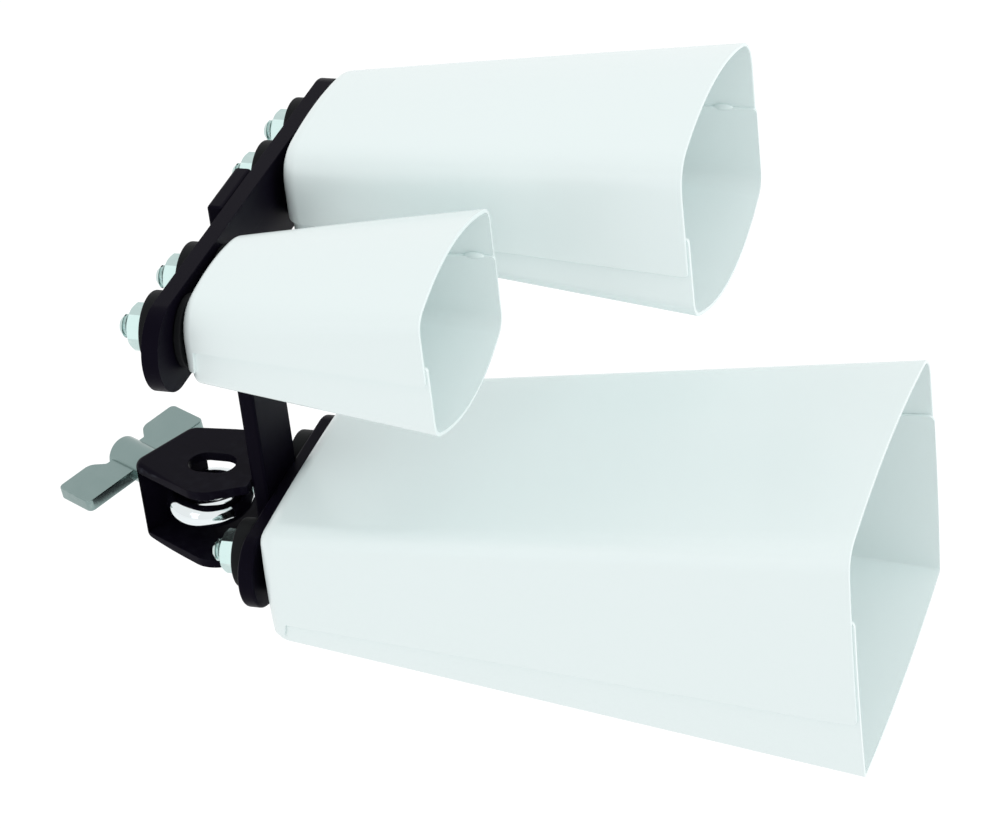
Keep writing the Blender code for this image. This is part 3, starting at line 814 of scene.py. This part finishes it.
def make_fasteners():
    """One of each fastener, copied to every bolt."""
    first = "large_bell_{}_near"
    washer_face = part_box(first.format("inner_washer"))[1].x
    patterns = {
        "nut": hex_nut(*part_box(first.format("nut"))),
        "bolt": hex_bolt(*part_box(first.format("bolt")), washer_face + HEAD_GAP),
    }
    for kind, edge in RING_EDGES:
        low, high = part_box(first.format(kind))
        patterns[kind] = turned(ring_profile(low.x, high.x, BOLT_BORE, high.z - low.z, edge))
    for bell in BELLS:
        for where in SIDES:
            bolt = middle(f"{bell.name}_bolt_{where}")
            for kind, pattern in patterns.items():
                finished(twin(pattern, (0, bolt.y, bolt.z)), f"{bell.name}_{kind}_{where}")
    for pattern in patterns.values():
        bpy.data.objects.remove(pattern, do_unlink=True)


def make_eye_bolt():
    """A bent wire eye with a small gap, on a threaded stem."""
    eye = begin(
        bpy.ops.mesh.primitive_torus_add,
        major_radius=EYE_RADIUS,
        minor_radius=EYE_WIRE / 2,
        major_segments=2 * TURN_STEPS,
        minor_segments=TURN_STEPS // 2,
        location=(EYE_DRAWN_OUT, 0, 0),
    )
    gap = begin(
        bpy.ops.mesh.primitive_cube_add,
        size=1,
        location=(EYE_RADIUS, 0, 0),
        scale=(2 * EYE_WIRE, EYE_GAP, 2 * EYE_WIRE),
    )
    turn_piece(gap, -EYE_GAP_TURN, "Z")
    with editing(gap):
        bpy.ops.transform.translate(value=(EYE_DRAWN_OUT, 0, 0))
    combine(eye, gap, "DIFFERENCE")
    wire_centre = EYE_DRAWN_OUT + EYE_RADIUS
    shoulder = wire_centre + EYE_WIRE / 2
    thick = EYE_WIRE / 2 - SHEET / 4
    thin = STEM_DIAMETER / 2 - THREAD_DEPTH / 2
    neck = turned(
        [
            (wire_centre, 0.0),
            (wire_centre, thick),
            (shoulder, thick),
            (shoulder + PITCH, thin),
            (shoulder + 2 * PITCH, thin),
            (shoulder + 2 * PITCH, 0.0),
        ]
    )
    stem = threaded_rod(-STEM_TIP, -shoulder, STEM_DIAMETER)
    turn_piece(stem, math.pi, "Z")
    combine(eye, neck, "UNION")
    combine(eye, stem, "UNION")
    turn_piece(eye, CLAMP_TURN, "Z")
    finished(eye, "eye_bolt")


def make_wing_washers():
    """A flat washer and a split lock washer between the clamp and the wing nut."""
    low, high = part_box("wing_washer")
    washer = turned(ring_profile(*WING_WASHER, STEM_BORE, high.z - low.z, SHEET / 4))
    turn_piece(washer, CLAMP_TURN, "Z")
    finished(washer, "wing_washer")
    low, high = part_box("wing_lock_washer")
    diameter = high.z - low.z
    lock = turned(ring_profile(*LOCK_WASHER, STEM_BORE, diameter, SHEET / 4))
    slit = begin(
        bpy.ops.mesh.primitive_cube_add,
        size=1,
        location=(0, diameter / 2, 0),
        scale=(diameter, diameter, LOCK_SLIT / 2),
        rotation=(0, LOCK_SLIT_TURN, 0),
    )
    with editing(slit):
        bpy.ops.transform.translate(value=(sum(LOCK_WASHER) / 2, 0, 0))
    combine(lock, slit, "DIFFERENCE")
    turn_piece(lock, CLAMP_TURN, "Z")
    finished(lock, "wing_lock_washer")


def wing(side):
    """A flat ear, waisted beside the hub."""
    root = side * (HUB_RADIUS + STEM_BORE / 2) / 2
    tip = side * WING_SPAN / 2
    waist = side * WING_WAIST_SPAN / 2
    corners = [
        Vector((WING_INNER, root, 0)),
        Vector((WING_INNER, tip, 0)),
        Vector((WING_OUTER, tip, 0)),
        Vector((WING_OUTER, waist + side * WING_WAIST / 2, 0)),
        Vector((WING_OUTER - WING_WAIST, waist - side * WING_WAIST / 4, 0)),
        Vector((WING_OUTER - WING_WAIST, root, 0)),
    ]
    ear = begin(bpy.ops.mesh.primitive_circle_add, vertices=len(corners), fill_type="NGON")
    with editing(ear) as shape:
        for point, corner in zip(shape.verts, corners):
            point.co = corner - Vector((0, 0, WING_THICKNESS / 2))

        def on_the_ear(point):
            at_tip = abs(point.co.y) > WING_SPAN / 2 - PLACE_TOLERANCE
            return at_tip or point.co.x > WING_OUTER - PLACE_TOLERANCE

        pick(ear, "VERT", on_the_ear)
        bpy.ops.mesh.bevel(
            offset=WING_CORNER, segments=BEVEL_STEPS, affect="VERTICES", clamp_overlap=True
        )
        bpy.ops.mesh.select_all(action="SELECT")
        bpy.ops.mesh.extrude_region_move(TRANSFORM_OT_translate={"value": (0, 0, WING_THICKNESS)})
        bpy.ops.mesh.select_all(action="SELECT")
        bpy.ops.mesh.normals_make_consistent(inside=False)
    break_edges(ear, WING_EDGE, segments=3)
    return ear


def make_wing_nut():
    """A turned hub with two ears."""
    nut = turned(ring_profile(*HUB, STEM_BORE, 2 * HUB_RADIUS, HUB_EDGE))
    for side in (1, -1):
        combine(nut, wing(side), "UNION")
    turn_piece(nut, WING_TILT, "X")
    turn_piece(nut, CLAMP_TURN, "Z")
    finished(nut, "wing_nut")


# Finishes


def add_node(tree, kind, inputs=None, **settings):
    """Add a shader node, set it up and link or fill its inputs."""
    made = tree.nodes.new(kind)
    for name, value in settings.items():
        setattr(made, name, value)
    for name, value in (inputs or {}).items():
        if isinstance(value, bpy.types.NodeSocket):
            tree.links.new(value, made.inputs[name])
        else:
            made.inputs[name].default_value = value
    return made


def new_group(name, inputs, outputs):
    """A shader node group with float inputs and float outputs."""
    group = bpy.data.node_groups.new(name, "ShaderNodeTree")
    for label, value in inputs.items():
        socket = group.interface.new_socket(label, in_out="INPUT", socket_type="NodeSocketFloat")
        socket.default_value = value
    for label in outputs:
        group.interface.new_socket(label, in_out="OUTPUT", socket_type="NodeSocketFloat")
    return group, group.nodes.new("NodeGroupInput"), group.nodes.new("NodeGroupOutput")


def grain_group():
    """Fine grain and broad mottling over the piece."""
    group, given, result = new_group(
        "paint_grain", {"Grain scale": 500.0, "Mottle scale": 20.0}, ("Grain", "Mottle")
    )
    place = add_node(group, "ShaderNodeTexCoord").outputs["Object"]
    grain = add_node(
        group,
        "ShaderNodeTexNoise",
        {"Vector": place, "Scale": given.outputs["Grain scale"], "Detail": 2.0},
    )
    mottle = add_node(
        group,
        "ShaderNodeTexNoise",
        {"Vector": place, "Scale": given.outputs["Mottle scale"], "Detail": 4.0, "Distortion": 0.6},
    )
    group.links.new(grain.outputs["Fac"], result.inputs["Grain"])
    group.links.new(mottle.outputs["Fac"], result.inputs["Mottle"])
    return group


def rub_group():
    """Where sharp edges are lighter, broken up by noise: rubbed wear and also a painted highlight along
    the edges.
    """
    group, given, result = new_group(
        "edge_rub", {"Start": 0.53, "End": 0.62, "Break up": 300.0}, ("Rub",)
    )
    place = add_node(group, "ShaderNodeTexCoord").outputs["Object"]
    # Pointiness picks out the sharp edges that get the lighter colour, standing for both wear and a
    # painted edge highlight.
    shape = add_node(group, "ShaderNodeNewGeometry").outputs["Pointiness"]
    edge = add_node(
        group,
        "ShaderNodeMapRange",
        {"Value": shape, "From Min": given.outputs["Start"], "From Max": given.outputs["End"]},
    )
    breaks = add_node(
        group,
        "ShaderNodeTexNoise",
        {"Vector": place, "Scale": given.outputs["Break up"], "Detail": 3.0},
    )
    rubbed_and_lit = add_node(
        group,
        "ShaderNodeMapRange",
        {"Value": breaks.outputs["Fac"], "From Min": 0.45, "From Max": 0.65},
    )
    rub_and_highlight = add_node(
        group,
        "ShaderNodeMath",
        {0: edge.outputs["Result"], 1: rubbed_and_lit.outputs["Result"]},
        operation="MULTIPLY",
    )
    group.links.new(rub_and_highlight.outputs["Value"], result.inputs["Rub"])
    return group


GRAIN = grain_group()
RUB_AND_HIGHLIGHT = rub_group()


def mix_colour(tree, factor, first, second):
    """Mix two colours. The mix node takes them on inputs 6 and 7 and gives the mix on output 2."""
    mixed = add_node(tree, "ShaderNodeMix", {"Factor": factor}, data_type="RGBA")
    for socket, value in ((6, first), (7, second)):
        if isinstance(value, bpy.types.NodeSocket):
            tree.links.new(value, mixed.inputs[socket])
        else:
            mixed.inputs[socket].default_value = (*value, 1.0)
    return mixed.outputs[2]


def span(tree, value, low, high):
    """A value from 0 to 1 spread between two numbers."""
    made = add_node(tree, "ShaderNodeMapRange", {"Value": value, "To Min": low, "To Max": high})
    return made.outputs["Result"]


def finish_material(name, colours, roughness, bump, grain, rub_and_highlight=None, **shader_values):
    """A finish whose colour, roughness and relief vary over the piece.

    The bump is its strength and height, the grain its fine and broad scale, and the rub the
    colour of the lighter edges, which stands for both wear and a painted edge highlight, and how much of
    it shows.
    """
    material = bpy.data.materials.new(name)
    material.use_nodes = True
    tree = material.node_tree
    shader = tree.nodes["Principled BSDF"]
    scales = {"Grain scale": grain[0], "Mottle scale": grain[1]}
    grains = add_node(tree, "ShaderNodeGroup", scales, node_tree=GRAIN)
    colour = mix_colour(tree, grains.outputs["Mottle"], *colours)
    # Lighter sharp edges: rubbed wear, and also a painted highlight where the edges would catch the
    # light.
    if rub_and_highlight:
        rub_and_highlight_colour, rub_and_highlight_amount = rub_and_highlight
        edges = add_node(tree, "ShaderNodeGroup", node_tree=RUB_AND_HIGHLIGHT)
        rubbed_and_lit = add_node(
            tree, "ShaderNodeMath", {0: edges.outputs["Rub"], 1: rub_and_highlight_amount}, operation="MULTIPLY"
        )
        colour = mix_colour(tree, rubbed_and_lit.outputs["Value"], colour, rub_and_highlight_colour)
    tree.links.new(colour, shader.inputs["Base Color"])
    tree.links.new(span(tree, grains.outputs["Mottle"], *roughness), shader.inputs["Roughness"])
    relief = add_node(
        tree,
        "ShaderNodeBump",
        {"Strength": bump[0], "Distance": bump[1], "Height": grains.outputs["Grain"]},
    )
    tree.links.new(relief.outputs["Normal"], shader.inputs["Normal"])
    for socket, value in shader_values.items():
        shader.inputs[socket.replace("_", " ").title().replace("Ior", "IOR")].default_value = value
    return material


# On the metals, the black coat and the rubber, the lighter rub colour at sharp edges paints edge
# highlights as well as wear.
FINISHES = {
    "bell_enamel": finish_material(
        "white_enamel",
        colours=((0.846, 0.936, 0.930), (0.852, 0.942, 0.936)),
        roughness=(0.25, 0.28),
        bump=(0.015, 0.0002),
        grain=(420.0, 30.0),
    ),
    "bracket_coat": finish_material(
        "black_powder_coat",
        colours=((0.0034, 0.0026, 0.0062), (0.0046, 0.0036, 0.0080)),
        rub_and_highlight=((0.035, 0.038, 0.050), 0.5),
        roughness=(0.34, 0.40),
        bump=(0.06, 0.0002),
        grain=(1500.0, 60.0),
        specular_ior_level=0.025,
        specular_tint=(0.80, 0.80, 1.0, 1.0),
    ),
    "bright_zinc": finish_material(
        "bright_zinc_plate",
        colours=((0.47, 0.61, 0.59), (0.54, 0.68, 0.66)),
        rub_and_highlight=((0.70, 0.80, 0.78), 0.5),
        roughness=(0.16, 0.24),
        bump=(0.05, 0.0001),
        grain=(1800.0, 150.0),
        metallic=1.0,
    ),
    "isolator_rubber": finish_material(
        "black_rubber",
        colours=((0.0045, 0.0050, 0.0060), (0.0090, 0.0100, 0.0110)),
        rub_and_highlight=((0.03, 0.03, 0.034), 0.5),
        roughness=(0.5, 0.7),
        bump=(0.25, 0.0002),
        grain=(1200.0, 90.0),
        specular_ior_level=0.12,
    ),
    "eye_chrome": finish_material(
        "bright_chrome",
        colours=((0.74, 0.80, 0.81), (0.82, 0.86, 0.87)),
        rub_and_highlight=((0.9, 0.92, 0.92), 0.4),
        roughness=(0.05, 0.12),
        bump=(0.03, 0.0001),
        grain=(900.0, 120.0),
        metallic=1.0,
    ),
    # The wing nut's bright rub colour is mostly a painted highlight along the ears' edges.
    "wing_nickel": finish_material(
        "satin_nickel",
        colours=((0.21, 0.29, 0.28), (0.26, 0.34, 0.33)),
        rub_and_highlight=((0.70, 0.75, 0.74), 0.8),
        roughness=(0.17, 0.24),
        bump=(0.06, 0.0001),
        grain=(1400.0, 80.0),
        metallic=1.0,
    ),
}

for bell in BELLS:
    make_bell(bell)
make_plate("upper_bar", ("medium_bell", "small_bell"))
make_plate("lower_plate", ("large_bell",))
make_strap()
make_clamp()
make_welds()
make_fasteners()
make_eye_bolt()
make_wing_washers()
make_wing_nut()


# Stage


WHITE = (1.0, 1.0, 1.0, 1.0)
FLOOR_DROP = 0.30
FLOOR_SIZE = 8.0
FLOOR_GREY = (0.9, 0.9, 0.9, 1.0)
FLOOR_ROUGHNESS = 0.9
FLOOR_GLOW = 0.22
WORLD_LIGHT = 0.90
Lamp = namedtuple("Lamp", "name place size power colour mirrored")
LAMPS = (
    Lamp("front_softbox", (-0.6, -1.25, 0.7), 0.6, 0.5, (1.0, 1.0, 1.0), mirrored=True),
    Lamp("low_softbox", (-0.55, -1.35, 0.12), 0.4, 0.4, (0.75, 0.85, 1.0), mirrored=True),
    Lamp("mouth_softbox", (1.7, -0.1, 0.95), 0.8, 5.5, (0.94, 0.98, 1.0), mirrored=False),
)
CAMERA_LENS = 133.655
CAMERA_SENSOR = 36.0
CAMERA_PLACE = (0.4676, -0.9324, 0.6767)
CAMERA_TURN = (57.566, 5.775, 17.707)


def level_by_ray(tree, lighting, seen_level):
    """One level of light where it is looked at or mirrored, and another where it only lights."""
    path = add_node(tree, "ShaderNodeLightPath")
    seen = add_node(
        tree,
        "ShaderNodeMath",
        {0: path.outputs["Is Camera Ray"], 1: path.outputs["Is Glossy Ray"]},
        operation="ADD",
    )
    seen = add_node(
        tree,
        "ShaderNodeMath",
        {0: seen.outputs["Value"], 1: path.outputs["Is Transmission Ray"]},
        operation="ADD",
        use_clamp=True,
    )
    return span(tree, seen.outputs["Value"], lighting, seen_level)


def make_stage():
    """A white room of soft light, a pale floor and three softboxes."""
    world = bpy.data.worlds.new("soft_studio")
    world.use_nodes = True
    bpy.context.scene.world = world
    tree = world.node_tree
    background = tree.nodes["Background"]
    background.inputs["Color"].default_value = WHITE
    tree.links.new(level_by_ray(tree, WORLD_LIGHT, 1.0), background.inputs["Strength"])

    floor = begin(
        bpy.ops.mesh.primitive_plane_add, size=FLOOR_SIZE, location=(0, 0, CAD_LOW.z - FLOOR_DROP)
    )
    floor.name = "pale_floor"
    material = bpy.data.materials.new("pale_floor")
    material.use_nodes = True
    tree = material.node_tree
    shader = tree.nodes["Principled BSDF"]
    shader.inputs["Base Color"].default_value = FLOOR_GREY
    shader.inputs["Roughness"].default_value = FLOOR_ROUGHNESS
    shader.inputs["Specular IOR Level"].default_value = 0.0
    shader.inputs["Emission Color"].default_value = WHITE
    tree.links.new(level_by_ray(tree, 0.0, FLOOR_GLOW), shader.inputs["Emission Strength"])
    floor.data.materials.append(material)

    centre = (CAD_LOW + CAD_HIGH) / 2
    for lamp in LAMPS:
        light = bpy.data.lights.new(lamp.name, "AREA")
        light.size = lamp.size
        light.energy = lamp.power
        light.color = lamp.colour
        holder = bpy.data.objects.new(lamp.name, light)
        holder.visible_glossy = lamp.mirrored
        holder.location = Vector(lamp.place)
        holder.rotation_euler = (centre - holder.location).to_track_quat("-Z", "Y").to_euler()
        bpy.context.scene.collection.objects.link(holder)


def make_camera():
    """The photograph's viewpoint."""
    camera = bpy.data.cameras.new("photo_camera")
    camera.lens = CAMERA_LENS
    camera.sensor_width = CAMERA_SENSOR
    holder = bpy.data.objects.new("photo_camera", camera)
    holder.location = CAMERA_PLACE
    holder.rotation_euler = [math.radians(angle) for angle in CAMERA_TURN]
    bpy.context.scene.collection.objects.link(holder)
    bpy.context.scene.camera = holder


make_stage()
make_camera()
bpy.context.scene.view_settings.view_transform = "Standard"
